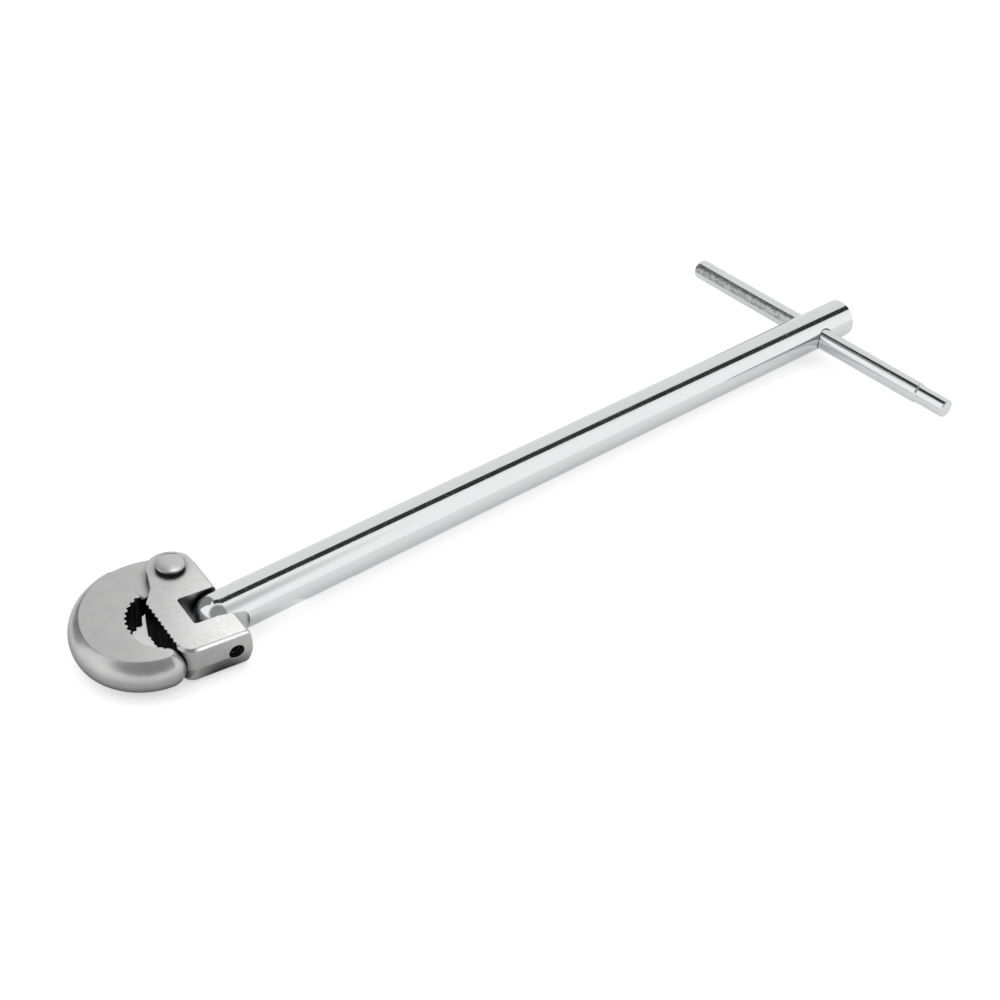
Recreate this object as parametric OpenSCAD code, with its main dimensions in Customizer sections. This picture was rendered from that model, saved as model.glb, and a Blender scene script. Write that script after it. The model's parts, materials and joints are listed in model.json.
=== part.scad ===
// Basin wrench: a long round shaft with a sliding tommy bar at one end and a swivelling,
// spring-closed hook-and-heel head at the other.
// Millimetres. +X runs along the shaft and out of its flat end, +Z is up.
// The origin is the centre of the shaft's flat end face.

/* [Shaft] */
// Diameter of the round shaft
shaft_d = 12.7; // [12:0.1:13]
// From the shaft's end face to the tommy bar's axis
bar_inset = 15; // [10:0.5:25]
// From the tommy bar's axis to the swivel pin's axis
reach = 238; // [150:1:400]
// Width across the two flats of the tongue
tongue_w = 9.2; // [8:0.1:10.2]
// From the swivel pin's axis to the shoulder where the flats run out
tongue_len = 9; // [8:0.1:12]
// Chamfer round the shaft's end face
end_chamfer = 0.5; // [0.2:0.1:1]

/* [Tommy bar] */
// Diameter of the tommy bar
bar_d = 6.8; // [6:0.1:7]
// Overall length of the tommy bar
bar_len = 107.2; // [90:0.2:150]
// How far the bar's middle lies from the shaft's axis, along +Y
bar_offset = -2.7; // [-20:0.1:20]
// Diameter of the turned-down nose
nose_d = 6; // [5:0.1:6]
// Length of the turned-down nose
nose_len = 10.8; // [6:0.1:15]

/* [Head] */
// Half of the heel jaw's thickness
heel_h = 5.5; // [5.5:0.1:7]
// Half of the hook jaw's thickness
hook_h = 5; // [4.5:0.1:5]
// How far the hook's rounded rim stands out at mid-height
rim_bulge = 3; // [2:0.1:3]
// Width of the slot that takes the tongue
slot_w = 10.7; // [10.7:0.1:11]
// Skew of the swivel pin and of the tongue's flats, and so of the head, on the shaft
head_skew = -7.8; // [-7.8:0.1:7.8]
// Number of fine teeth on the heel jaw
heel_teeth = 10; // [8:1:20]
// Number of coarse teeth in the hook's throat
hook_teeth = 8; // [5:1:10]
// Diameter of the rivet's shank
rivet_d = 5; // [4:0.1:5]
// Diameter of the slotted swivel pin
pin_d = 4.2; // [3:0.1:4.2]

/* [Hidden] */
$fn = 72;

// Fits: radial clearance of a running fit, and face clearance of a swinging part
run = 0.08;
gap = 0.1;
// How far a cutter reaches past what it cuts, and the size of one that clears the whole head
past = 1;
cutter = 60;

shaft_r = shaft_d / 2;
bar_r = bar_d / 2;
pin_r = pin_d / 2;
rivet_r = rivet_d / 2;
pin_x = -(bar_inset + reach);

// Shaft: the ball end of the tongue has its centre behind the swivel pin's axis, and the
// flats, which are square to the pin, run out at the shoulder in a fillet
ball_back = 2;
shoulder_r = 2;

// Swivel pin: it is driven in from the near side and stops in a blind hole
pin_recess = 1.8;
pin_far = 9.3;
pin_wall = 0.85;
pin_slit = 0.8;
pin_chamfer = 0.4;

// Heel jaw, seen from above with the swivel pin's axis at 0,0
rivet_at = [-2.8, 17.8];
ear_r = 6.5;
ear_t = 2.9;
arm_x = 4.5;
arm_curve = 20;
near_y = -14.5;
face_x = -14.5;
face_top = 7.4;
neck = [[-10.9, 12.6]];

// Lower ear: it leaves the ear's circle at this angle, so it reaches further towards the hook
ear_back = 140;
low_neck = [[-10.3, 18.6], [-12.7, 12.9]];

// Rest of the heel jaw: near corner, slot for the tongue, bevels and draft
corner_r = 4;
slot_end = -7;
slot_corner = 0.8;
mouth_flare = 1.1;
flare_from = -0.5;
edge_chamfer = 0.7;
end_bevel = 0.5;
parting_z = -1;
draft = 1.2;
heel_tooth = 0.45;
fork_z = heel_h - ear_t;

// Hook jaw, in the same plan view: two tangent arcs outside, two arcs in the throat
crown_at = [-11, 3];
crown_r = 21.8;
belly_r = 15.4;
join_a = 184;
belly_at = crown_at + polar(crown_r - belly_r, join_a);
tip_r = 1.6;
tip_at = belly_at - [0, belly_r - tip_r];
rim_r = (pow(hook_h, 2) + pow(rim_bulge, 2)) / (2 * rim_bulge);
bite_at = [-10.8, 1];
bite_r = 10.85;
hook_tooth = 0.75;
bite_from = 111;
bite_to = 192;
throat_at = [-13.9, -1.6];
throat_r = 8.05;
step_dist = 12.45;
step_lean = 11.8;
tip_gap = 0.35;

// Tang: the thin end of the hook that turns between the heel jaw's ears
tang_h = fork_z - gap;
tang_r = ear_r - 0.2;
hump_at = [-6.2, 23.7];
hump_r = 3.6;
stop_a = 208;
stop_play = 0.4;
open_a = 40;

// Jaw spring: a torsion spring round the rivet, in a pocket under the tang
wire_r = 0.4;
coil_r = 3.4;
coil_turns = 1.5;
coil_pitch = 0.9;
coil_steps = 16;
wire_sides = 8;
leg_len = 1.2;
pocket_r = 4.4;
pocket_d = 2.4;
leg_hole_r = 0.5;
coil_z = -tang_h + wire_r + 0.05;
coil_top = coil_z + coil_turns * coil_pitch;

// Rivet: a low dome on a narrower collar, and a peened foot
head_r = 4.05;
head_rim = 0.6;
head_dome = 0.5;
collar_r = 3.3;
collar_h = 0.8;
foot_r = 3.6;
foot_h = 0.8;

// Swaged stops that keep the tommy bar in its hole
burr_r = 0.55;
burr_out = 0.2;
stop_inset = 11.4;
burr_turn = 20;
dent_r = 2.4;
dent_depth = 0.55;
dent_turn = 110;
bar_soft = 1.6;
bar_near = bar_offset - bar_len / 2;
bar_far = bar_offset + bar_len / 2;

function polar(r, a) = r * [cos(a), sin(a)];

module along_x(r, from, to) {
    translate([from, 0, 0]) rotate([0, 90, 0]) cylinder(r = r, h = to - from);
}

module along_y(r, from, to) {
    translate([0, from, 0]) rotate([-90, 0, 0]) cylinder(r = r, h = to - from);
}

module in_head() {
    translate([pin_x, 0, 0]) rotate([0, 0, head_skew]) children();
}

module at_rivet() {
    translate([rivet_at.x, rivet_at.y, 0]) children();
}

module slab(half) {
    translate([0, 0, -half]) linear_extrude(2 * half) children();
}

// Shaft -----------------------------------------------------------------------

// What is milled away beside the tongue, on the +Y side
module flat_plan() {
    x = tongue_len - shoulder_r;
    y = tongue_w / 2;
    translate([-shaft_d, y]) square([x + shaft_d, shaft_d]);
    translate([0, y + shoulder_r]) square([tongue_len, shaft_d]);
    translate([x, y + shoulder_r]) circle(r = shoulder_r);
}

module shaft() {
    ball_x = pin_x + ball_back;
    color("gainsboro") difference() {
        union() {
            along_x(shaft_r, ball_x, -end_chamfer);
            translate([-end_chamfer, 0, 0]) rotate([0, 90, 0])
                cylinder(r1 = shaft_r, r2 = shaft_r - end_chamfer, h = end_chamfer);
            translate([ball_x, 0, 0]) sphere(r = shaft_r);
        }
        for (side = [0, 1])
            in_head() mirror([0, side, 0]) slab(shaft_d) flat_plan();
        in_head() along_y(pin_r + run, -shaft_d, shaft_d);
        translate([-bar_inset, 0, 0]) along_y(bar_r + run, -shaft_d, shaft_d);
    }
}

// Tommy bar -------------------------------------------------------------------

// Profile of half the bar: [radius, place along Y], with a rounded far end
function bar_profile(nose_chamfer = 0.45, blend = 0.35) = concat(
    [[0, bar_near], [nose_d / 2 - nose_chamfer, bar_near], [nose_d / 2, bar_near + nose_chamfer]],
    [[nose_d / 2, bar_near + nose_len - blend], [bar_r, bar_near + nose_len]],
    [[bar_r, bar_far - bar_soft], [0, bar_far - bar_soft]]
);

module stop_burrs(y, turn) {
    for (side = [-1, 1])
        rotate([0, turn, 0]) translate([side * (bar_r - burr_r + burr_out), y, 0]) sphere(r = burr_r);
}

module tommy_bar(overlap = 0.01) {
    flat_r = bar_r - bar_soft;
    color("silver") translate([-bar_inset, 0, 0]) difference() {
        union() {
            rotate([-90, 0, 0]) rotate_extrude() {
                polygon(bar_profile());
                translate([0, bar_far - bar_soft - overlap]) square([flat_r, bar_soft + overlap]);
                translate([flat_r, bar_far - bar_soft]) intersection() {
                    circle(r = bar_soft);
                    square(bar_soft);
                }
            }
            stop_burrs(bar_near + nose_len + burr_r, 90);
            stop_burrs(bar_far - stop_inset, burr_turn);
        }
        for (side = [0, 180])
            rotate([0, side + dent_turn, 0]) translate([bar_r + dent_r - dent_depth, bar_far - stop_inset, 0])
                cylinder(r = dent_r, h = bar_d, center = true);
    }
}

// Heel jaw --------------------------------------------------------------------

// The outline leaves the ear's circle at the angle given and runs down the neck to the face
module heel_plan(leave, neck) {
    at = rivet_at;
    translate(at) circle(r = ear_r);
    polygon(concat([at + polar(ear_r, leave)], neck, [[face_x, face_top],
        [face_x, near_y + corner_r - past], [face_x + corner_r - past, near_y - past],
        [arm_x + past, near_y - past], [arm_x + past, at.y - ear_r], [at.x + ear_r, at.y]]));
    translate([face_x + corner_r, near_y + corner_r]) circle(r = corner_r + past);
}

module tongue_slot() {
    y = slot_w / 2;
    translate([slot_end + slot_corner, -y]) square([arm_x - slot_end + past, slot_w]);
    translate([slot_end, slot_corner - y]) square([slot_w, slot_w - 2 * slot_corner]);
    for (side = [-1, 1])
        translate([slot_end + slot_corner, side * (y - slot_corner)]) circle(r = slot_corner);
    polygon([[flare_from, 0], [flare_from, -y], [arm_x, -y - mouth_flare],
        [arm_x + past, -y - mouth_flare], [arm_x + past, 0]]);
}

// What is cut away outside a side wall, as [distance outward, height]
function side_cut(out = 3) = [[-edge_chamfer, heel_h], [0, heel_h - edge_chamfer], [0, parting_z],
    [-draft, -heel_h], [-draft, -heel_h - past], [out, -heel_h - past], [out, heel_h + past],
    [-edge_chamfer, heel_h + past]];

module near_side_cut() {
    start = face_x + corner_r;
    translate([start, near_y, 0]) rotate([90, 0, 90]) linear_extrude(arm_x - start + 2 * past)
        mirror([1, 0]) polygon(side_cut());
    translate([start, near_y + corner_r, 0]) rotate([0, 0, 180]) rotate_extrude(angle = 90)
        translate([corner_r, 0]) polygon(side_cut());
}

module heel_teeth_cut(root = 0.55) {
    from = near_y + corner_r;
    pitch = (face_top - from) / heel_teeth;
    linear_extrude(cutter, center = true) polygon(concat(
        [[face_x - past, from]],
        [for (i = [0:heel_teeth - 1]) each [[face_x, from + i * pitch],
            [face_x + heel_tooth, from + (i + root) * pitch]]],
        [[face_x, face_top], [face_x - past, face_top]]));
}

// The arms end in one gently curved face, with its upper and lower edges bevelled
module arm_end_cut() {
    x = arm_x - arm_curve;
    difference() {
        translate([0, -cutter / 2, -cutter / 2]) cube(cutter);
        translate([x, 0, 0]) along_y(arm_curve, -cutter, cutter);
    }
    edge = x + sqrt(pow(arm_curve, 2) - pow(heel_h, 2));
    for (side = [-1, 1])
        translate([edge, 0, side * heel_h]) rotate([0, 45, 0])
            cube([end_bevel * sqrt(2), cutter, end_bevel * sqrt(2)], center = true);
}

module slot_chamfer() {
    translate([slot_end + slot_corner, slot_w / 2, heel_h]) rotate([45, 0, 0])
        cube([arm_x - slot_end + past, edge_chamfer * sqrt(2), edge_chamfer * sqrt(2)]);
}

// The gap between the ears: a round root, open over the sweep of the tang
module fork_plan(reach_r = 24, root_gap = 0.25) {
    circle(r = tang_r + root_gap);
    polygon([[0, 0], for (a = [open_a, 90, 150, stop_a + stop_play]) polar(reach_r, a)]);
}

module heel_jaw() {
    color("darkgray") in_head() difference() {
        union() {
            slab(heel_h) heel_plan(180, neck);
            translate([0, 0, -heel_h]) linear_extrude(ear_t) heel_plan(ear_back, low_neck);
        }
        slab(cutter) tongue_slot();
        near_side_cut();
        heel_teeth_cut();
        arm_end_cut();
        slot_chamfer();
        at_rivet() slab(fork_z) fork_plan();
        at_rivet() cylinder(r = rivet_r, h = cutter, center = true);
        along_y(pin_r, 2 * near_y, pin_far);
        spring_foot() cylinder(r = leg_hole_r, h = 2 * leg_len + past, center = true);
    }
}

// Swivel pin: a slotted tube, rolled from sheet --------------------------------

module swivel_pin() {
    from = near_y + pin_recess;
    color("dimgray") in_head() difference() {
        rotate([-90, 0, 0]) rotate_extrude() polygon([
            [pin_r - pin_wall, from], [pin_r - pin_chamfer, from], [pin_r, from + pin_chamfer],
            [pin_r, pin_far - pin_chamfer], [pin_r - pin_chamfer, pin_far], [pin_r - pin_wall, pin_far]]);
        translate([-pin_slit / 2, from - past, 0]) cube([pin_slit, pin_far - from + 2 * past, pin_d]);
    }
}

// Hook jaw --------------------------------------------------------------------

// A sector of a disc whose flat face has radius r and whose rim is a rounded bevel
module rim_sector(at, r, from, to, lap = 0.5) {
    translate([at.x, at.y, 0]) rotate([0, 0, from]) rotate_extrude(angle = to - from, $fn = 144) {
        translate([0, -hook_h]) square([r, 2 * hook_h]);
        intersection() {
            translate([r + rim_bulge - rim_r, 0]) circle(r = rim_r);
            translate([max(0, r - lap), -hook_h]) square([rim_bulge + 2 * lap, 2 * hook_h]);
        }
    }
}

// Everything on the rivet's side of the straight step
module rivet_side() {
    at_rivet() rotate([0, 0, 180 + step_lean]) translate([step_dist - cutter, -cutter, -cutter / 2])
        cube([cutter, 2 * cutter, cutter]);
}

module hook_body() {
    difference() {
        union() {
            difference() {
                rim_sector(crown_at, crown_r, 90, join_a);
                rivet_side();
            }
            rim_sector(belly_at, belly_r, join_a, 270);
            rim_sector(tip_at, tip_r, 270, 450);
        }
        translate([face_x - tip_gap, near_y + corner_r, -cutter / 2])
            cube([cutter, face_top - near_y - corner_r, cutter]);
        translate([face_x + corner_r, near_y + corner_r, 0])
            cylinder(r = corner_r + tip_gap, h = cutter, center = true);
    }
}

// The radial flank at stop_a rests against the fork's root when the jaws are closed
module tang_plan(side = 30) {
    at = rivet_at;
    translate(at) circle(r = tang_r);
    translate(hump_at) circle(r = hump_r);
    polygon([at, hump_at + [0, hump_r], hump_at + [0, side], [at.x - side, at.y + side],
        at + polar(side, stop_a)]);
}

// Across the step: the tang's thickness, and a cove up to the hook's upper face
module tang_profile() {
    cove = hook_h - tang_h;
    translate([step_dist - cutter, -tang_h]) square([cutter, 2 * tang_h]);
    difference() {
        translate([step_dist - cove, 0]) square([cove, hook_h]);
        translate([step_dist - cove, hook_h]) circle(r = cove);
    }
}

module tang() {
    intersection() {
        slab(hook_h) tang_plan();
        rim_sector(crown_at, crown_r, 0, 360);
        at_rivet() rotate([0, 0, 180 + step_lean]) rotate([90, 0, 0])
            linear_extrude(2 * cutter, center = true) tang_profile();
    }
}

// V-shaped gullets round the upper part of the throat
module gullets(lap = 0.1) {
    step = (bite_to - bite_from) / hook_teeth;
    crest_r = bite_r - lap;
    translate([bite_at.x, bite_at.y, 0]) linear_extrude(cutter, center = true) polygon(concat(
        [[0, 0]],
        [for (a = [bite_from:step:bite_to - step / 2]) each
            [polar(crest_r, a), polar(bite_r + hook_tooth, a + step / 2)]],
        [polar(crest_r, bite_to)]));
}

module hook_jaw() {
    color("darkgray") in_head() difference() {
        union() {
            hook_body();
            tang();
        }
        translate([bite_at.x, bite_at.y, 0]) cylinder(r = bite_r, h = cutter, center = true);
        translate([throat_at.x, throat_at.y, 0]) cylinder(r = throat_r, h = cutter, center = true);
        gullets();
        at_rivet() cylinder(r = rivet_r + run, h = cutter, center = true);
        at_rivet() translate([0, 0, -hook_h]) cylinder(r = pocket_r, h = hook_h - tang_h + pocket_d);
        spring_head() cylinder(r = leg_hole_r, h = 2 * leg_len + past, center = true);
    }
}

// Rivet -----------------------------------------------------------------------

module dome(r, h) {
    curve = (pow(r, 2) + pow(h, 2)) / (2 * h);
    intersection() {
        translate([0, 0, h - curve]) sphere(r = curve, $fn = 144);
        cylinder(r = r, h = h + past);
    }
}

module jaw_rivet() {
    base = heel_h + collar_h;
    color("lightgray") in_head() at_rivet() {
        translate([0, 0, -heel_h]) cylinder(r = rivet_r, h = 2 * heel_h);
        translate([0, 0, heel_h]) cylinder(r = collar_r, h = collar_h);
        translate([0, 0, base]) cylinder(r = head_r, h = head_rim);
        translate([0, 0, base + head_rim]) dome(head_r, head_dome);
        translate([0, 0, -heel_h]) mirror([0, 0, 1]) dome(foot_r, foot_h);
    }
}

// Jaw spring ------------------------------------------------------------------

function coil_a(t) = 360 * coil_turns * t;
function coil_point(t) = [coil_r * cos(coil_a(t)), coil_r * sin(coil_a(t)), coil_z + (coil_top - coil_z) * t];
coil_path = concat([coil_point(0) - [0, 0, leg_len + wire_r]],
    [for (i = [0:coil_turns * coil_steps]) coil_point(i / (coil_turns * coil_steps))],
    [coil_point(1) + [0, 0, leg_len]]);

function unit(v) = v / norm(v);
function heading(p, i) = unit(p[min(i + 1, len(p) - 1)] - p[max(i - 1, 0)]);
// Rings keep one corner towards the rivet's axis, so the tube never twists
function ring(p, i) = let (t = heading(p, i), inward = unit([-p[i].x, -p[i].y, 0]),
    u = unit(inward - (inward * t) * t), v = cross(t, u))
    [for (k = [0:wire_sides - 1]) let (a = 360 * k / wire_sides) p[i] + wire_r * (cos(a) * u + sin(a) * v)];

module wire(p) {
    n = wire_sides;
    last = len(p) - 1;
    polyhedron(
        points = [for (i = [0:last]) each ring(p, i)],
        faces = concat(
            [[for (k = [0:n - 1]) k]],
            [for (i = [0:last - 1], k = [0:n - 1])
                [i * n + k, (i + 1) * n + k, (i + 1) * n + (k + 1) % n, i * n + (k + 1) % n]],
            [[for (k = [n - 1:-1:0]) last * n + k]]),
        convexity = 4);
}

module spring_foot() {
    at_rivet() translate([coil_path[0].x, coil_path[0].y, -fork_z]) children();
}

module spring_head() {
    end = coil_path[len(coil_path) - 1];
    at_rivet() translate([end.x, end.y, -tang_h + pocket_d]) children();
}

module jaw_spring() {
    color("slategray") in_head() at_rivet() wire(coil_path);
}

shaft();
tommy_bar();
heel_jaw();
swivel_pin();
hook_jaw();
jaw_rivet();
jaw_spring();
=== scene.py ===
"""Basin wrench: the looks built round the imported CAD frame. Lengths are in metres."""
import json
import math

import bmesh
import bpy
from mathutils import Matrix, Vector


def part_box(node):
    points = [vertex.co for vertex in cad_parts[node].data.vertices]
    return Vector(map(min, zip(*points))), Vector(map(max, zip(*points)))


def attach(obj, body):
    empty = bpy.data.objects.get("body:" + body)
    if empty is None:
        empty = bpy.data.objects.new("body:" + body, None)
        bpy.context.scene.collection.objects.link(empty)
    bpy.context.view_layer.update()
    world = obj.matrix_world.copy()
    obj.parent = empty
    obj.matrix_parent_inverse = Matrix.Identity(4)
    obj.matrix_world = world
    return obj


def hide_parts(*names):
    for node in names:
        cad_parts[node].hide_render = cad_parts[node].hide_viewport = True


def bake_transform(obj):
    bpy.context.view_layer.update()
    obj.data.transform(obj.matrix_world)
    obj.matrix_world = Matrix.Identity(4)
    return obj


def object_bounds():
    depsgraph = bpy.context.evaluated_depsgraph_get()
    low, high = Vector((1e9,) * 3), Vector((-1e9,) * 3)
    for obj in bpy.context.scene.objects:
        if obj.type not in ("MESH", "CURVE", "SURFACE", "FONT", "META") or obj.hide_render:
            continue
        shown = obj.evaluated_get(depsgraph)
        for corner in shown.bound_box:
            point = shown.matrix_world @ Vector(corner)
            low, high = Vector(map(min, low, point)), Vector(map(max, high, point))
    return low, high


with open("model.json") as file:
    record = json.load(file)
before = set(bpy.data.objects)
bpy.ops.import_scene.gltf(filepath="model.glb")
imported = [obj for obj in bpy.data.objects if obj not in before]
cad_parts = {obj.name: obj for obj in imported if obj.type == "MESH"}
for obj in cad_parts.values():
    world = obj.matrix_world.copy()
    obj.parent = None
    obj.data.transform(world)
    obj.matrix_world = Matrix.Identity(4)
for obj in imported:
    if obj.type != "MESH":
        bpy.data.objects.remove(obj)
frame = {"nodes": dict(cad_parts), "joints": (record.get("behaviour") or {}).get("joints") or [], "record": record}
cad_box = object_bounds()

MM = 0.001
X, Y, Z = Vector((1, 0, 0)), Vector((0, 1, 0)), Vector((0, 0, 1))
BIG = 0.05  # size of a cutter that reaches past what it cuts
TINY = 1e-6  # shorter than anything in the model

# ---------------------------------------------------------------- the frame
joints = {j["name"]: j for j in frame["joints"]}
mounts = {m["name"]: m for m in frame["record"]["mounts"]}
shaft_low, shaft_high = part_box("shaft")
heel_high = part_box("heel_jaw")[1]
hook_low, hook_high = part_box("hook_jaw")
bar_low, bar_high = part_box("tommy_bar")
rivet_low, rivet_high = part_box("jaw_rivet")
spring_low, spring_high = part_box("jaw_spring")

shaft_r = (shaft_high[2] - shaft_low[2]) / 2
pin_at = Vector(joints["head_swivel"]["pos_m"])
pin_axis = Vector(joints["head_swivel"]["axis"])
rivet_at = Vector(joints["hook_pivot"]["pos_m"])
bar_x = mounts["tommy_bar_nose"]["pos_m"][0]
heel_h = heel_high[2]
head_turn = math.atan2(-pin_axis.x, pin_axis.y)


def in_head(x, y, z=0.0):
    """A point given in the head's own frame, in mm from the swivel pin."""
    return pin_at + Matrix.Rotation(head_turn, 3, "Z") @ Vector((x, y, z)) * MM


# ---------------------------------------------------------------- mesh tools
def add_object(name, mesh):
    obj = bpy.data.objects.new(name, mesh)
    bpy.context.scene.collection.objects.link(obj)
    return obj


def arc(centre, radius, start, end, steps):
    """Points of an arc in a profile's own plane; angles in degrees."""
    turns = [math.radians(start + (end - start) * i / steps) for i in range(steps + 1)]
    return [(centre[0] + radius * math.cos(a), centre[1] + radius * math.sin(a)) for a in turns]


def lathe(name, profile, origin, axis, segments=192):
    """A closed solid turned about an axis; the profile is (radius, distance along the axis), end to end."""
    spin = axis.to_track_quat("Z", "Y").to_matrix()
    bm = bmesh.new()
    rings = []
    for radius, along in profile:
        if radius < TINY:
            rings.append([bm.verts.new(origin + axis * along)])
            continue
        ring = []
        for i in range(segments):
            turn = 2 * math.pi * i / segments
            around = Vector((radius * math.cos(turn), radius * math.sin(turn), along))
            ring.append(bm.verts.new(origin + spin @ around))
        rings.append(ring)
    for low, high in zip(rings, rings[1:]):
        for i in range(segments):
            j = (i + 1) % segments
            if len(low) == 1:
                bm.faces.new((low[0], high[j], high[i]))
            elif len(high) == 1:
                bm.faces.new((low[i], low[j], high[0]))
            else:
                bm.faces.new((low[i], low[j], high[j], high[i]))
    bmesh.ops.recalc_face_normals(bm, faces=bm.faces)
    mesh = bpy.data.meshes.new(name)
    bm.to_mesh(mesh)
    bm.free()
    return add_object(name, mesh)


def prism(name, outline):
    """A tall cutter with an outline given in the head's frame, in metres from the swivel pin."""
    bm = bmesh.new()
    verts = [bm.verts.new(in_head(x / MM, y / MM, -BIG / MM)) for x, y in outline]
    face = bm.faces.new(verts)
    grown = bmesh.ops.extrude_face_region(bm, geom=[face])["geom"]
    upper = [part for part in grown if isinstance(part, bmesh.types.BMVert)]
    bmesh.ops.translate(bm, vec=(0, 0, 2 * BIG), verts=upper)
    bmesh.ops.recalc_face_normals(bm, faces=bm.faces)
    mesh = bpy.data.meshes.new(name)
    bm.to_mesh(mesh)
    bm.free()
    return add_object(name, mesh)


def rod(name, origin, axis, radius, half, segments=96):
    """A plain round cutter centred on a point."""
    return lathe(name, [(0, -half), (radius, -half), (radius, half), (0, half)], origin, axis, segments)


def applied(obj):
    """Turns the object's modifiers into its mesh."""
    depsgraph = bpy.context.evaluated_depsgraph_get()
    mesh = bpy.data.meshes.new_from_object(obj.evaluated_get(depsgraph))
    obj.modifiers.clear()
    old = obj.data
    obj.data = mesh
    bpy.data.meshes.remove(old)
    return obj


def combine(obj, others, operation="DIFFERENCE"):
    """Cuts the others out of the object, or joins them to it."""
    for other in others:
        mod = obj.modifiers.new("combine", "BOOLEAN")
        mod.object = other
        mod.operation = operation
        mod.solver = "EXACT"
    applied(obj)
    for other in others:
        mesh = other.data
        bpy.data.objects.remove(other)
        bpy.data.meshes.remove(mesh)


def soften(obj, width, angle=30, segments=2):
    """Rounds the edges sharper than an angle."""
    mod = obj.modifiers.new("soften", "BEVEL")
    mod.width = width
    mod.segments = segments
    mod.limit_method = "ANGLE"
    mod.angle_limit = math.radians(angle)
    mod.miter_outer = "MITER_ARC"
    applied(obj)


def shade(obj, angle=30, exact=None):
    """Smooth shading with sharp edges kept; exact(point, normal) may give a lathed surface's true normal."""
    mesh = obj.data
    mesh.polygons.foreach_set("use_smooth", [True] * len(mesh.polygons))
    mesh.set_sharp_from_angle(angle=math.radians(angle))
    if exact is None:
        return
    normals = [n.vector.copy() for n in mesh.corner_normals]
    for face in mesh.polygons:
        for k in face.loop_indices:
            point = mesh.vertices[mesh.loops[k].vertex_index].co
            normals[k] = exact(point, face.normal) or normals[k]
    mesh.normals_split_custom_set(normals)


def mark_painted_shade(obj, in_shade):
    """Stores the recessed faces that take painted shade, in bores, teeth and under the rivet head, as a value on
    each face for the material.
    """
    mesh = obj.data
    values = [1.0 if in_shade(f.center, f.normal) else 0.0 for f in mesh.polygons]
    mesh.attributes.new("cut", "FLOAT", "FACE").data.foreach_set("value", values)


def finish_piece(obj, node, body, material):
    """Puts a piece in the place of its CAD node."""
    obj.data.materials.clear()
    obj.data.materials.append(material)
    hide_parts(node)
    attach(obj, body)


# ---------------------------------------------------------------- materials
def grey(value):
    return (value, value, value)


WHITE = grey(1)
PLATE = (0.72, 0.725, 0.73)
# The next colour is painted shade, the near-black inside the tommy bar's bore.
BORE_SHADE = grey(0.03)
LINE_DEPTH, WAVE_DEPTH, SPECK_DEPTH = 1.1e-6, 9e-6, 6e-6
BLAST_DEPTH = 0.022 * MM
# Reach of the painted crevice shade.
CREVICE_SHADE_REACH = 2.5 * MM


def map_range(tree, value, from_low, from_high, to_low, to_high):
    """Maps a range of values to another, in any node tree."""
    node = tree.nodes.new("ShaderNodeMapRange")
    limits = {"From Min": from_low, "From Max": from_high, "To Min": to_low, "To Max": to_high}
    for key, number in limits.items():
        node.inputs[key].default_value = number
    tree.links.new(value, node.inputs["Value"])
    return node.outputs["Result"]


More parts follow.
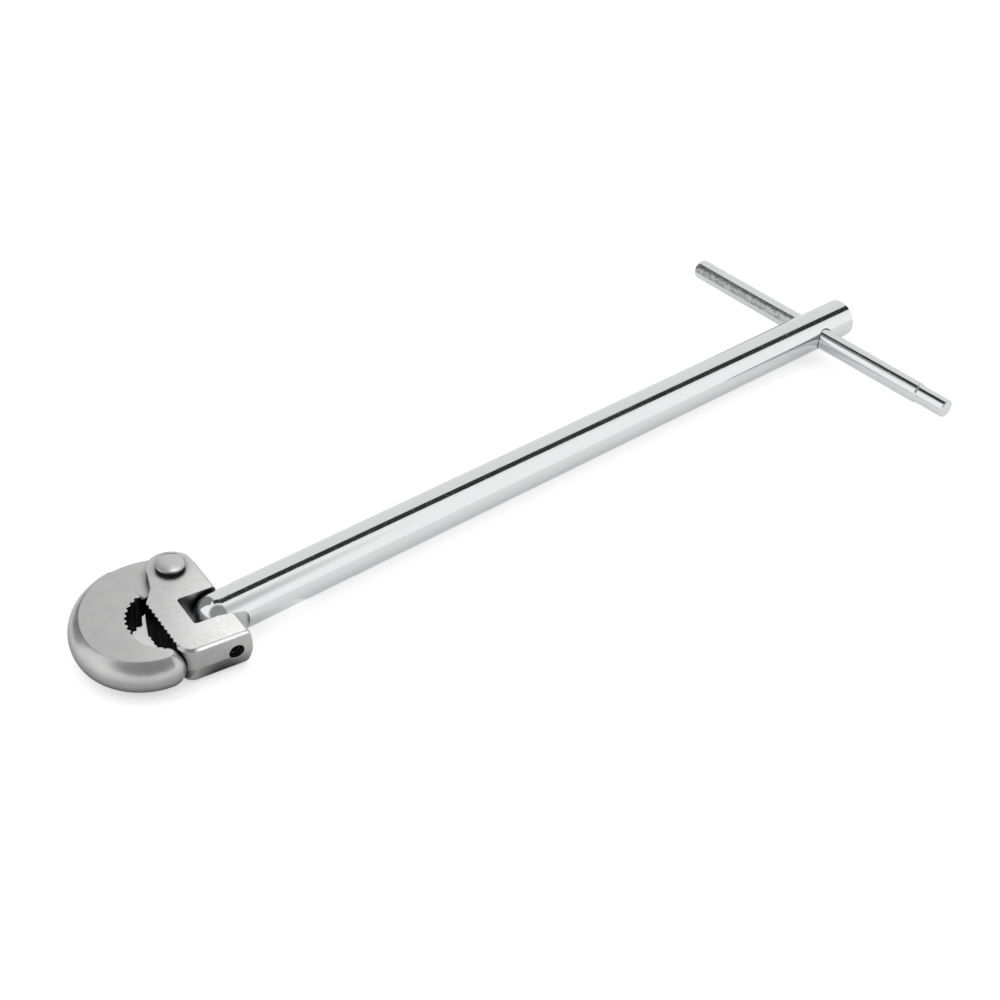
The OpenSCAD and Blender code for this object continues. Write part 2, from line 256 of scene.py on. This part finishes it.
class Nodes:
    """A material's node tree, with short ways to add nodes."""

    def __init__(self, name):
        self.material = bpy.data.materials.new(name)
        self.material.use_nodes = True
        self.tree = self.material.node_tree
        self.shader = self.tree.nodes["Principled BSDF"]
        self.object = self.add("ShaderNodeTexCoord").outputs["Object"]

    def add(self, kind, **settings):
        node = self.tree.nodes.new(kind)
        for key, value in settings.items():
            setattr(node, key, value)
        return node

    def link(self, out, into):
        self.tree.links.new(out, into)

    def noise(self, scale, detail, stretch=(1, 1, 1)):
        """Noise of a scale per metre; an (x, y, z) share below 1 draws it out along that axis."""
        mapping = self.add("ShaderNodeMapping")
        mapping.inputs["Scale"].default_value = stretch
        self.link(self.object, mapping.inputs["Vector"])
        node = self.add("ShaderNodeTexNoise")
        node.inputs["Scale"].default_value = scale
        node.inputs["Detail"].default_value = detail
        self.link(mapping.outputs["Vector"], node.inputs["Vector"])
        return node.outputs["Fac"]

    def spread(self, value, from_low, from_high, to_low, to_high):
        """Maps a range of values to another."""
        return map_range(self.tree, value, from_low, from_high, to_low, to_high)

    def math(self, operation, a, b):
        node = self.add("ShaderNodeMath", operation=operation)
        for socket, value in zip(node.inputs, (a, b)):
            if isinstance(value, (int, float)):
                socket.default_value = value
            else:
                self.link(value, socket)
        return node.outputs["Value"]

    def mix(self, factor, a, b, blend_type="MIX"):
        """Mixes two colours, each given as (r, g, b) or as an output, by a factor from 0 to 1."""
        node = self.add("ShaderNodeMix", data_type="RGBA", blend_type=blend_type)
        for key, value in (("Factor", factor), ("A", a), ("B", b)):
            if isinstance(value, tuple):
                node.inputs[key].default_value = (*value, 1)
            elif isinstance(value, (int, float)):
                node.inputs[key].default_value = value
            else:
                self.link(value, node.inputs[key])
        return node.outputs["Result"]

    def darken(self, colour, amount, tint):
        """Multiplies a colour by a tint, as far as the amount from 0 to 1 says."""
        return self.mix(1, colour, self.mix(amount, WHITE, tint), "MULTIPLY")

    def along(self, direction):
        """How far a point lies along a direction from the origin, in the piece's own frame."""
        node = self.add("ShaderNodeVectorMath", operation="DOT_PRODUCT")
        self.link(self.object, node.inputs[0])
        node.inputs[1].default_value = direction
        return node.outputs["Value"]

    def bump(self, height, distance, below=None):
        node = self.add("ShaderNodeBump")
        node.inputs["Distance"].default_value = distance
        self.link(height, node.inputs["Height"])
        if below is not None:
            self.link(below, node.inputs["Normal"])
        return node.outputs["Normal"]

    def edges(self, low, high):
        """1 on outer edges, 0 elsewhere."""
        return self.spread(self.add("ShaderNodeNewGeometry").outputs["Pointiness"], low, high, 0, 1)

    def cut(self):
        """1 on the faces that mark_painted_shade marked for painted shade, 0 elsewhere."""
        return self.add("ShaderNodeAttribute", attribute_name="cut").outputs["Fac"]

    def finish(self, colour, roughness, normal):
        """A metal of that colour, roughness and normal."""
        self.shader.inputs["Metallic"].default_value = 1
        self.link(colour, self.shader.inputs["Base Color"])
        self.link(roughness, self.shader.inputs["Roughness"])
        self.link(normal, self.shader.inputs["Normal"])
        return self.material


def chrome(name, along, reflection_band=None):
    """Bright plating over drawn steel: faint lines along the axis, a slow waviness and fine specks. Marked bores
    take painted shade; a band, if given, is a painted dark reflection mottled like wear.
    """
    n = Nodes(name)

    def drawn_out(share):
        return tuple(share if axis else 1 for axis in along)

    lines = n.bump(n.noise(2600, 2, drawn_out(0.02)), LINE_DEPTH)
    waves = n.bump(n.noise(170, 1, drawn_out(0.25)), WAVE_DEPTH, lines)
    specks = n.spread(n.noise(2300, 3), 0.66, 0.72, 0, 1)
    # Painted shade: marked bore faces are drawn near-black.
    plating = n.mix(n.cut(), PLATE, BORE_SHADE)
    haze = n.spread(n.noise(90, 4), 0.35, 0.7, 0.035, 0.11)
    rough = n.math("ADD", haze, n.math("MULTIPLY", specks, 0.2))
    if reflection_band:
        # Painted reflection: the band darkens the plating as a dark reflection would, mottled like wear, and
        # roughens it.
        band_mask = reflection_band(n)
        mottle = n.spread(n.noise(1500, 4, drawn_out(0.5)), 0.38, 0.62, 1, 0)
        plating = n.darken(plating, n.math("MULTIPLY", band_mask, mottle), grey(0.55))
        plating = n.darken(plating, band_mask, grey(0.7))
        rough = n.math("ADD", rough, n.math("MULTIPLY", band_mask, 0.12))
    return n.finish(plating, rough, n.bump(specks, SPECK_DEPTH, waves))


def satin(name, low, high, grain=1.0):
    """Bead-blasted plated steel: a fine grain, soft cloudiness, edges lighter as rubbed wear and painted
    highlight, painted shade in hollows, and near-black painted shade on marked faces.
    """
    n = Nodes(name)
    grains = n.noise(2600, 3)
    clouds = n.noise(220, 4)
    dimples = n.noise(1100, 2)
    blasted = n.bump(grains, BLAST_DEPTH * grain, n.bump(dimples, BLAST_DEPTH * grain))
    # Painted highlight and wear: convex edges are drawn lighter and smoother.
    rubbed_and_highlit = n.edges(0.57, 0.68)
    tone = n.math("ADD", n.spread(clouds, 0.3, 0.7, 0, 0.55), n.spread(grains, 0.3, 0.7, 0, 0.45))
    clean = n.mix(n.math("MAXIMUM", tone, rubbed_and_highlit), low, high)
    # Painted shade: ambient occlusion darkens the colour in crevices and under overhangs.
    crevice_ao = n.add("ShaderNodeAmbientOcclusion", samples=8)
    crevice_ao.inputs["Distance"].default_value = CREVICE_SHADE_REACH
    crevice_shaded = n.darken(clean, n.spread(crevice_ao.outputs["AO"], 0.35, 0.95, 1, 0), grey(0.35))
    streaks = n.spread(n.noise(1500, 3, (1, 1, 0.06)), 0.35, 0.65, 0, 1)
    # Painted shade: faces marked in teeth, gullets and under the rivet head are drawn near-black, with streaks.
    colour = n.mix(n.cut(), crevice_shaded, n.mix(streaks, grey(0.05), grey(0.19)))
    rough = n.spread(clouds, 0.3, 0.7, 0.28, 0.34)
    return n.finish(colour, n.math("SUBTRACT", rough, n.math("MULTIPLY", rubbed_and_highlit, 0.08)), blasted)


def pin_shade_steel(name):
    """Near-black steel with a trace of oil; the near-black is painted shade for the pin sitting deep in its hole.
    """
    n = Nodes(name)
    colour = n.mix(n.noise(900, 4), (0.02, 0.02, 0.022), (0.09, 0.09, 0.095))
    return n.finish(colour, n.spread(n.noise(500, 3), 0.3, 0.7, 0.35, 0.6), n.bump(n.noise(2600, 3), 5e-6))


def spring_steel(name):
    """Drawn wire with a soft sheen."""
    n = Nodes(name)
    colour = n.mix(n.noise(700, 3), (0.22, 0.22, 0.23), (0.42, 0.42, 0.43))
    return n.finish(colour, n.spread(n.noise(1200, 3), 0.3, 0.7, 0.22, 0.4), n.bump(n.noise(4000, 2), 2e-6))


# ---------------------------------------------------------------- shaft
SMOOTH_TO = 2e-6  # how far a point may lie off a round surface and still take that surface's true normal
TONGUE_W = 9.2 * MM
TONGUE_LEN = 9 * MM
SHOULDER_R = 2 * MM
END_CHAMFER = 0.5 * MM
PIN_HOLE_R = 2.18 * MM
BAR_HOLE_R = 3.65 * MM
EDGE = 0.12 * MM


def build_shaft():
    ball_x = shaft_low[0] + shaft_r
    flat_r = shaft_r - END_CHAMFER
    profile = [(0, 0), (flat_r - EDGE, 0)]
    profile += arc((flat_r - EDGE, -EDGE), EDGE, 90, 45, 3)
    profile += arc((shaft_r - EDGE, -END_CHAMFER - EDGE * 0.4), EDGE, 45, 0, 3)
    profile += arc((0, ball_x), shaft_r, 0, -90, 28)[:-1] + [(0, ball_x - shaft_r)]
    shaft = lathe("shaft_body", profile, Vector((0, 0, 0)), X, 256)
    flat, corner = TONGUE_W / 2, SHOULDER_R
    outline = [(-BIG, BIG), (-BIG, flat)]
    outline += arc((TONGUE_LEN - corner, flat + corner), corner, -90, 0, 12)
    outline += [(TONGUE_LEN, BIG)]
    cutters = [prism("flat", [(x, side * y) for x, y in outline]) for side in (-1, 1)]
    cutters.append(rod("pin_hole", pin_at, pin_axis, PIN_HOLE_R, BIG))
    cutters.append(rod("bar_hole", Vector((bar_x, 0, 0)), Y, BAR_HOLE_R, BIG))
    combine(shaft, cutters)
    soften(shaft, EDGE)

    def true_normal(point, normal):
        ball = point.x < ball_x
        out = Vector((point.x - ball_x if ball else 0, point.y, point.z))
        if abs(out.length - shaft_r) > SMOOTH_TO:
            return None
        out.normalize()
        return out if out.dot(normal) > 0.995 else None

    shade(shaft, exact=true_normal)
    # The tommy bar's bore takes painted shade.
    mark_painted_shade(shaft, lambda at, n: math.hypot(at.x - bar_x, at.z) < BAR_HOLE_R + EDGE)
    finish_piece(shaft, "shaft", "shaft", chrome("shaft_chrome", (1, 0, 0)))


# ---------------------------------------------------------------- tommy bar
BAR_R = 3.4 * MM
NOSE_R = 3.0 * MM
NOSE_EDGE = 0.45 * MM
STEP_EDGE = 0.3 * MM
STEP_RISE = 0.35 * MM
BAR_SOFT = 1.6 * MM
STOP_INSET = 11.4 * MM
BURR_R = 0.55 * MM
BURR_OUT = 0.2 * MM
DENT_R = 2.4 * MM
DENT_DEPTH = 0.55 * MM
DENT_EDGE = 0.08 * MM

# Turns about the bar, about +Y from +X, in degrees
NEAR_BURR_TURN = 90
FAR_BURR_TURN = 20
DENT_TURN = 110
# The next turn places the painted dark reflection band.
REFLECTION_BAND_TURN = -150


def round_bar(turn, radius, y):
    """A point beside the tommy bar's axis, at a turn about +Y from +X, in degrees."""
    a = math.radians(turn)
    return Vector((bar_x + radius * math.cos(a), y, -radius * math.sin(a)))


def painted_reflection_band(n):
    """A strip along the far half, at one turn about the bar, where a dark reflection is painted, mottled like
    wear.
    """
    turn = math.radians(REFLECTION_BAND_TURN)
    axis = bar_x * math.cos(turn)
    out = n.along((math.cos(turn), 0, -math.sin(turn)))
    strip = n.spread(out, axis + 0.86 * BAR_R, axis + 0.9 * BAR_R, 0, 1)
    return n.math("MULTIPLY", strip, n.spread(n.along((0, 1, 0)), 0, 12 * MM, 0, 1))


def build_tommy_bar():
    near, far = bar_low[1], bar_high[1]
    nose = mounts["tommy_bar_nose"]
    step = nose["pos_m"][1] + nose["dims"]["length_mm"] * MM / 2 + STEP_RISE
    profile = [(0, near), (NOSE_R - NOSE_EDGE, near)]
    profile += arc((NOSE_R - NOSE_EDGE, near + NOSE_EDGE), NOSE_EDGE, -90, 0, 6)
    profile += [(NOSE_R, step - STEP_RISE)]
    profile += arc((BAR_R - STEP_EDGE, step + STEP_EDGE), STEP_EDGE, -60, 0, 5)
    profile += arc((BAR_R - BAR_SOFT, far - BAR_SOFT), BAR_SOFT, 0, 90, 14) + [(0, far)]
    bar = lathe("tommy_bar_body", profile, Vector((bar_x, 0, 0)), Y)
    bead = [(0, -BURR_R)] + arc((0, 0), BURR_R, -75, 75, 10) + [(0, BURR_R)]
    for y, turn in ((step + BURR_R, NEAR_BURR_TURN), (far - STOP_INSET, FAR_BURR_TURN)):
        burrs = []
        for side in (0, 180):
            at = round_bar(turn + side, BAR_R - BURR_R + BURR_OUT, y)
            burrs.append(lathe("burr", bead, at, Z, 32))
        combine(bar, burrs, "UNION")
    dents = []
    for side in (0, 180):
        at = round_bar(DENT_TURN + side, BAR_R + DENT_R - DENT_DEPTH, far - STOP_INSET)
        across = (round_bar(DENT_TURN + side + 90, 1, 0) - Vector((bar_x, 0, 0))).normalized()
        dents.append(rod("dent", at, across, DENT_R, 2 * BAR_R))
    combine(bar, dents)
    soften(bar, DENT_EDGE)

    def true_normal(point, normal):
        out = Vector((point.x - bar_x, 0, point.z))
        radius = out.length
        if radius < TINY:
            return None
        out.normalize()
        plain = min(abs(radius - BAR_R), abs(radius - NOSE_R)) < SMOOTH_TO
        return out if plain and out.dot(normal) > 0.9995 else None

    shade(bar, exact=true_normal)
    # The bar's plating carries a painted dark reflection band.
    plating = chrome("bar_chrome", (0, 1, 0), painted_reflection_band)
    finish_piece(bar, "tommy_bar", "tommy_bar", plating)


# ---------------------------------------------------------------- head
VOXEL = 0.1 * MM
KEEP_FACES = 0.45
UPRIGHT = 0.5  # a face counts as upright when its normal rises less than this

# Where the teeth lie, in the head's own frame in mm, and the hook's in degrees about the bite
FACE_ROOT_X = -13.9
FACE_FOOT, FACE_TOP = -10.6, 7.6
BITE_AT = Vector((-10.8, 1))
GULLET_R = 11.85
GULLETS_FROM, GULLETS_TO = 105, 195


def forging(node, name):
    """A CAD solid's mesh with its sharp edges softened as tumbling leaves them."""
    mesh = frame["nodes"][node].data.copy()
    obj = add_object(name, mesh)
    bm = bmesh.new()
    bm.from_mesh(mesh)
    bmesh.ops.remove_doubles(bm, verts=bm.verts, dist=TINY)
    bm.to_mesh(mesh)
    bm.free()
    remesh = obj.modifiers.new("remesh", "REMESH")
    remesh.mode = "VOXEL"
    remesh.voxel_size = VOXEL
    smooth = obj.modifiers.new("smooth", "SMOOTH")
    smooth.factor = 0.5
    smooth.iterations = 4
    decimate = obj.modifiers.new("thin_out", "DECIMATE")
    decimate.ratio = KEEP_FACES
    applied(obj)
    obj.data.polygons.foreach_set("use_smooth", [True] * len(obj.data.polygons))
    return obj


def from_head(point, normal):
    """A point and a direction, back in the head's own frame."""
    back = Matrix.Rotation(-head_turn, 3, "Z")
    return back @ (point - pin_at) / MM, back @ normal


def build_heel(material):
    heel = forging("heel_jaw", "heel_forging")

    def in_teeth(point, normal):
        at, n = from_head(point, normal)
        return at.x < FACE_ROOT_X and FACE_FOOT < at.y < FACE_TOP and abs(n.z) < UPRIGHT

    # The teeth faces take painted shade.
    mark_painted_shade(heel, in_teeth)
    finish_piece(heel, "heel_jaw", "head", material)


def build_hook(material):
    hook = forging("hook_jaw", "hook_forging")

    def in_gullets(point, normal):
        at, n = from_head(point, normal)
        off = at.xy - BITE_AT
        turn = math.degrees(math.atan2(off.y, off.x)) % 360
        return off.length < GULLET_R and abs(n.z) < UPRIGHT and GULLETS_FROM < turn < GULLETS_TO

    # The gullet faces take painted shade.
    mark_painted_shade(hook, in_gullets)
    finish_piece(hook, "hook_jaw", "hook", material)


DOME_R, COLLAR_R, FOOT_R, SHANK_R = 4.05 * MM, 3.3 * MM, 3.6 * MM, 2.5 * MM
COLLAR_H = 0.8 * MM
RIM_H = 0.6 * MM
RIM_ROLL = 0.25 * MM


def ball_radius(radius, rise):
    """The radius of the ball whose cap has that radius and that rise."""
    return (radius ** 2 + rise ** 2) / (2 * rise)


def build_rivet():
    """A low dome with a rolled rim on a narrower collar, and a peened foot."""
    top, foot = rivet_high[2], rivet_low[2]
    rim_low = heel_h + COLLAR_H
    roll_at = DOME_R - RIM_ROLL
    dome = ball_radius(DOME_R, top - rim_low - RIM_H)
    dome_edge = math.degrees(math.asin(roll_at / dome))
    peen = ball_radius(FOOT_R, -heel_h - foot)
    peen_edge = math.degrees(math.asin(FOOT_R / peen))
    profile = [(0, foot)] + arc((0, foot + peen), peen, -90, -90 + peen_edge, 20)[1:]
    profile += [(FOOT_R, -heel_h), (SHANK_R, -heel_h), (SHANK_R, heel_h), (COLLAR_R, heel_h)]
    profile += [(COLLAR_R, rim_low)] + arc((roll_at, rim_low + RIM_ROLL), RIM_ROLL, -90, 0, 5)
    profile += arc((roll_at, rim_low + RIM_H - RIM_ROLL * 0.2), RIM_ROLL, 0, 60, 5)
    profile += arc((0, top - dome), dome, 90 - dome_edge, 90, 24)[:-1] + [(0, top)]
    rivet = lathe("jaw_rivet_head", profile, Vector((rivet_at.x, rivet_at.y, 0)), Z, 160)
    shade(rivet, angle=35)
    # The collar under the rivet head takes painted shade.
    mark_painted_shade(rivet, lambda at, n: heel_h < at.z < rim_low and (at.xy - rivet_at.xy).length < COLLAR_R)
    material = satin("rivet_satin", grey(0.50), grey(0.62), 0.5)
    finish_piece(rivet, "jaw_rivet", "head", material)


WIRE_R = 0.4 * MM
COIL_R = 3.4 * MM
COIL_TURNS = 1.5
COIL_STEPS = 120
LEG = 1.2 * MM


def build_spring():
    """A round wire coiled about the rivet, with a short straight leg at each end."""
    low = spring_low[2] + LEG + WIRE_R
    high = spring_high[2] - LEG
    points = []
    for i in range(COIL_STEPS + 1):
        turn = 2 * math.pi * COIL_TURNS * i / COIL_STEPS + head_turn
        at = Vector((COIL_R * math.cos(turn), COIL_R * math.sin(turn), 0))
        points.append(rivet_at + at + Z * (low + (high - low) * i / COIL_STEPS))
    points = [points[0] - Z * LEG] + points + [points[-1] + Z * LEG]
    curve = bpy.data.curves.new("spring_wire", "CURVE")
    curve.dimensions = "3D"
    curve.bevel_depth = WIRE_R
    curve.bevel_resolution = 4
    curve.use_fill_caps = True
    spline = curve.splines.new("POLY")
    spline.points.add(len(points) - 1)
    for p, at in zip(spline.points, points):
        p.co = (*at, 1)
    obj = add_object("spring_source", curve)
    depsgraph = bpy.context.evaluated_depsgraph_get()
    mesh = bpy.data.meshes.new_from_object(obj.evaluated_get(depsgraph))
    bpy.data.objects.remove(obj)
    spring = add_object("jaw_spring_coil", mesh)
    shade(spring, angle=50)
    spring.data.materials.append(spring_steel("spring_wire_steel"))
    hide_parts("jaw_spring")
    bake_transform(spring)


# ---------------------------------------------------------------- studio
CAMERA_LENS = 62.776
CAMERA_AZIMUTH, CAMERA_ELEVATION, CAMERA_ROLL = -44.444, 37.470, 4.796
LOOK_AT = Vector((-0.159713, -0.007049, 0))
CAMERA_DISTANCE = 0.496923

# Brightness of the surroundings: shade on the floor, the room's far, near and camera sides
SHADE_DARK, SHADE_EDGE = 0.05, 0.55
FAR_LIGHT, NEAR_LIGHT, FRONT_LIGHT = 0.91, 1.14, 0.30
FLOOR_SEEN, FLOOR_MIRRORED = 0.5, 0.2

LAMP_SIZE = 0.03


def build_camera():
    data = bpy.data.cameras.new("camera")
    data.lens = CAMERA_LENS
    data.sensor_width = 36
    data.clip_start = 0.01
    data.clip_end = 50
    camera = bpy.data.objects.new("camera", data)
    bpy.context.scene.collection.objects.link(camera)
    turn = (Matrix.Rotation(math.radians(CAMERA_AZIMUTH), 4, "Z")
            @ Matrix.Rotation(math.radians(90 - CAMERA_ELEVATION), 4, "X")
            @ Matrix.Rotation(math.radians(CAMERA_ROLL), 4, "Z"))
    camera.matrix_world = Matrix.Translation(LOOK_AT) @ turn @ Matrix.Translation((0, 0, CAMERA_DISTANCE))
    bpy.context.scene.camera = camera


def glow(name, strength):
    """A plain white glow."""
    material = bpy.data.materials.new(name)
    material.use_nodes = True
    tree = material.node_tree
    tree.nodes.clear()
    light = tree.nodes.new("ShaderNodeEmission")
    light.inputs["Strength"].default_value = strength
    tree.links.new(light.outputs[0], tree.nodes.new("ShaderNodeOutputMaterial").inputs["Surface"])
    return material


def only_reflected(obj):
    """Makes an object show in reflections and nowhere else."""
    obj.visible_camera = False
    obj.visible_diffuse = False
    obj.visible_shadow = False


def card(name, centre, size, turn, strength, tilt=0.0):
    """A flat card seen only in reflections; turned about Z and tilted about its own length, in degrees."""
    bm = bmesh.new()
    bmesh.ops.create_grid(bm, x_segments=1, y_segments=1, size=0.5)
    mesh = bpy.data.meshes.new(name)
    bm.to_mesh(mesh)
    bm.free()
    obj = add_object(name, mesh)
    turned = Matrix.Rotation(math.radians(turn), 4, "Z") @ Matrix.Rotation(math.radians(tilt), 4, "X")
    obj.matrix_world = Matrix.Translation(centre) @ turned @ Matrix.Diagonal((*size, 1, 1))
    mesh.materials.append(glow(name + "_glow", strength))
    only_reflected(obj)


def floor_shade(name, at, inner, reach, dark, light, rise):
    """A disc that the lower faces above it reflect: dark out to the inner radius, lighter at its rim."""
    bm = bmesh.new()
    bmesh.ops.create_circle(bm, cap_ends=True, segments=64, radius=reach)
    mesh = bpy.data.meshes.new(name)
    bm.to_mesh(mesh)
    bm.free()
    disc = add_object(name, mesh)
    disc.location = (at.x, at.y, cad_box[0][2] + rise)
    material = glow(name + "_glow", light)
    tree = material.node_tree
    length = tree.nodes.new("ShaderNodeVectorMath")
    length.operation = "LENGTH"
    tree.links.new(tree.nodes.new("ShaderNodeTexCoord").outputs["Object"], length.inputs[0])
    fade = map_range(tree, length.outputs["Value"], inner, reach, dark, light)
    tree.links.new(fade, tree.nodes["Emission"].inputs["Strength"])
    mesh.materials.append(material)
    only_reflected(disc)


def build_floor():
    """A white floor, brightened a little where it is seen or mirrored."""
    bm = bmesh.new()
    bmesh.ops.create_grid(bm, x_segments=2, y_segments=2, size=8)
    mesh = bpy.data.meshes.new("floor")
    bm.to_mesh(mesh)
    bm.free()
    floor = add_object("floor", mesh)
    floor.location.z = cad_box[0][2]
    n = Nodes("floor_white")
    n.link(n.mix(n.noise(8, 3), grey(0.93), grey(0.95)), n.shader.inputs["Base Color"])
    n.shader.inputs["Roughness"].default_value = 0.7
    n.shader.inputs["Specular IOR Level"].default_value = 0.2
    ray = n.add("ShaderNodeLightPath").outputs
    seen = n.math("MULTIPLY", ray["Is Camera Ray"], FLOOR_SEEN)
    mirrored = n.math("MULTIPLY", ray["Is Glossy Ray"], FLOOR_MIRRORED)
    n.shader.inputs["Emission Color"].default_value = (1, 1, 1, 1)
    n.link(n.math("ADD", seen, mirrored), n.shader.inputs["Emission Strength"])
    mesh.materials.append(n.material)


def build_world():
    """Soft light from all round: brighter on the near side, dim where the camera stands."""
    world = bpy.data.worlds.new("studio")
    bpy.context.scene.world = world
    world.use_nodes = True
    tree = world.node_tree
    light = tree.nodes["Background"]
    light.inputs["Color"].default_value = (1, 1, 1, 1)
    direction = tree.nodes.new("ShaderNodeTexCoord").outputs["Generated"]

    def towards(vector, from_low, from_high, to_low, to_high):
        dot = tree.nodes.new("ShaderNodeVectorMath")
        dot.operation = "DOT_PRODUCT"
        dot.inputs[1].default_value = vector
        tree.links.new(direction, dot.inputs[0])
        return map_range(tree, dot.outputs["Value"], from_low, from_high, to_low, to_high)

    near_side = towards((-0.707, -0.707, 0), -0.45, -0.15, FAR_LIGHT, NEAR_LIGHT)
    camera_side = towards((-0.302, -0.568, 0.766), 0.66, 0.80, 1, FRONT_LIGHT)
    product = tree.nodes.new("ShaderNodeMath")
    product.operation = "MULTIPLY"
    tree.links.new(near_side, product.inputs[0])
    tree.links.new(camera_side, product.inputs[1])
    tree.links.new(product.outputs[0], light.inputs["Strength"])


def head_light(name, place, target, energy, lit):
    """A small soft lamp that lights only the pieces named."""
    data = bpy.data.lights.new(name, "AREA")
    data.size = LAMP_SIZE
    data.energy = energy
    lamp = bpy.data.objects.new(name, data)
    bpy.context.scene.collection.objects.link(lamp)
    lamp.location = place
    lamp.rotation_euler = (Vector(target) - lamp.location).to_track_quat("-Z", "Y").to_euler()
    group = bpy.data.collections.new(name + "_on")
    for piece in lit:
        group.objects.link(bpy.data.objects[piece])
    lamp.light_linking.receiver_collection = group


def build_studio():
    build_camera()
    build_floor()
    build_world()
    card("dark_flag", centre=(0.5, 0.02, 0.8), size=(1.75, 0.36), turn=-24, strength=0.04)
    card("dark_side", centre=(-0.376, 0.706, 0.6), size=(0.68, 1.25), turn=28, strength=0.28, tilt=90)

    hook_middle = (hook_low + hook_high) / 2
    arm_middle = pin_at - X * 3 * MM - pin_axis * 8 * MM
    floor_shade("wide_shade", hook_middle, 30 * MM, 44 * MM, SHADE_EDGE, FAR_LIGHT, 0.1 * MM)
    floor_shade("hook_shade", hook_middle, 19 * MM, 25.5 * MM, SHADE_DARK, SHADE_EDGE, 0.2 * MM)
    floor_shade("arm_shade", arm_middle, 6 * MM, 11 * MM, SHADE_DARK, SHADE_EDGE, 0.3 * MM)

    jaws = ("heel_forging", "hook_forging")
    arm_top = (-0.254, -0.012, 0.005)
    arm_edge = (-0.258, -0.016, 0.005)
    head_light("jaw_light", (-0.200, 0.066, 0.095), arm_top, 0.0065, jaws)
    head_light("edge_light", (-0.235, -0.100, 0.087), arm_edge, 0.012, jaws[:1])
    head_light("rivet_light", (-0.222, 0.040, 0.10), rivet_at, 0.009, ("jaw_rivet_head",))
    bpy.context.scene.view_settings.view_transform = "Standard"


# ---------------------------------------------------------------- assembly
build_shaft()
build_tommy_bar()
head_satin = satin("head_satin", grey(0.47), (0.60, 0.60, 0.595))
build_heel(head_satin)
build_hook(head_satin)
build_rivet()
build_spring()
# The pin's near-black colour is painted shade for its recess.
frame["nodes"]["swivel_pin"].material_slots[0].material = pin_shade_steel("pin_painted_shade")
build_studio()
